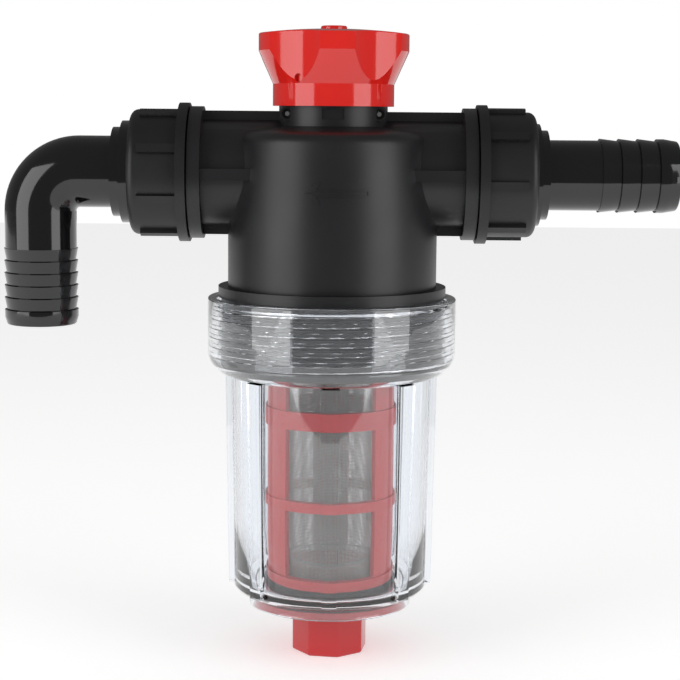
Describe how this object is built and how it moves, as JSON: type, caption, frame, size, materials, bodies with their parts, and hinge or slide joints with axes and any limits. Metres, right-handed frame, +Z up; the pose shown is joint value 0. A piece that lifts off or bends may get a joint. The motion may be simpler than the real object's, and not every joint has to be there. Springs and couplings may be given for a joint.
{
  "type": "inline strainer",
  "caption": "T-shaped inline water strainer with a quarter-turn knob, clear screw-on bowl, mesh cartridge, drain plug and union hose tails.",
  "frame": {"origin": "centre of the drain plug's flat foot, on the bowl's axis", "axes": "+Z up along the bowl's axis, +X from the bowl's axis to the inlet, the outlet elbow towards -X, the marker window on the neck facing -Y"},
  "size_m": [0.2924, 0.1086, 0.2755],
  "materials": {
    "head_plastic": "moulded glass-filled polypropylene, black, satin",
    "nut_plastic": "moulded polypropylene, black, fine spark-eroded grain",
    "tail_plastic": "moulded nylon, black, glossy",
    "barrel_plastic": "moulded acetal, dark grey, smooth",
    "knob_red": "moulded ABS, red, polished",
    "drain_red": "moulded polypropylene, red, smooth",
    "cartridge_red": "moulded polypropylene, red, satin",
    "bowl_clear": "moulded clear styrene-acrylonitrile, polished",
    "mesh_steel": "woven stainless steel wire mesh",
    "pin_steel": "turned stainless steel",
    "rubber": "moulded nitrile rubber, black"
  },
  "bodies": {
    "head": {"head": "head_plastic", "retaining_pin_left": "pin_steel", "retaining_pin_right": "pin_steel"},
    "valve": {"valve_barrel": "barrel_plastic", "valve_knob": "knob_red", "knob_screw": "pin_steel", "knob_cap": "knob_red", "barrel_lower_ring": "rubber", "barrel_upper_ring": "rubber"},
    "bowl_seal": {"bowl_gasket": "rubber"},
    "bowl": {"bowl": "bowl_clear", "strainer_frame": "cartridge_red", "strainer_mesh": "mesh_steel", "strainer_top_seal": "rubber", "strainer_bottom_seal": "rubber"},
    "drain_seal": {"drain_gasket": "rubber"},
    "drain": {"drain_plug": "drain_red"},
    "inlet_seal": {"inlet_gasket": "rubber"},
    "inlet_nut": {"inlet_nut": "nut_plastic"},
    "inlet_tail": {"inlet_tail": "tail_plastic"},
    "outlet_seal": {"outlet_gasket": "rubber"},
    "outlet_nut": {"outlet_nut": "nut_plastic"},
    "outlet_elbow": {"outlet_elbow": "tail_plastic"}
  },
  "joints": [
    {"name": "valve_turn", "type": "hinge", "parent": "head", "child": "valve", "pos_m": [0, 0, 0.2123], "axis": [0, 0, 1], "range_deg": [0, 90]},
    {"name": "bowl_lower", "type": "slide", "parent": "head", "child": "bowl_seal", "axis": [0, 0, -1], "range_m": [0, 0.028]},
    {"name": "bowl_unscrew", "type": "hinge", "parent": "bowl_seal", "child": "bowl", "pos_m": [0, 0, 0.08], "axis": [0, 0, -1], "range_deg": [0, 2520]},
    {"name": "drain_lower", "type": "slide", "parent": "bowl", "child": "drain_seal", "axis": [0, 0, -1], "range_m": [0, 0.012]},
    {"name": "drain_unscrew", "type": "hinge", "parent": "drain_seal", "child": "drain", "pos_m": [0, 0, 0.01], "axis": [0, 0, -1], "range_deg": [0, 1440]},
    {"name": "inlet_withdraw", "type": "slide", "parent": "head", "child": "inlet_seal", "axis": [1, 0, 0], "range_m": [0, 0.015]},
    {"name": "inlet_nut_unscrew", "type": "hinge", "parent": "inlet_seal", "child": "inlet_nut", "pos_m": [0.07, 0, 0.2123], "axis": [1, 0, 0], "range_deg": [0, 1800]},
    {"name": "inlet_tail_turn", "type": "hinge", "parent": "inlet_seal", "child": "inlet_tail", "pos_m": [0.09, 0, 0.2123], "axis": [1, 0, 0], "continuous": true},
    {"name": "outlet_withdraw", "type": "slide", "parent": "head", "child": "outlet_seal", "axis": [-1, 0, 0], "range_m": [0, 0.015]},
    {"name": "outlet_nut_unscrew", "type": "hinge", "parent": "outlet_seal", "child": "outlet_nut", "pos_m": [-0.07, 0, 0.2123], "axis": [-1, 0, 0], "range_deg": [0, 1800]},
    {"name": "outlet_elbow_turn", "type": "hinge", "parent": "outlet_seal", "child": "outlet_elbow", "pos_m": [-0.09, 0, 0.2123], "axis": [-1, 0, 0], "continuous": true}
  ],
  "couplings": [
    {"joint": "bowl_lower", "follows": "bowl_unscrew", "m_per_rad": 0.00063662},
    {"joint": "drain_lower", "follows": "drain_unscrew", "m_per_rad": 0.00047746},
    {"joint": "inlet_withdraw", "follows": "inlet_nut_unscrew", "m_per_rad": 0.00047746},
    {"joint": "outlet_withdraw", "follows": "outlet_nut_unscrew", "m_per_rad": 0.00047746}
  ]
}
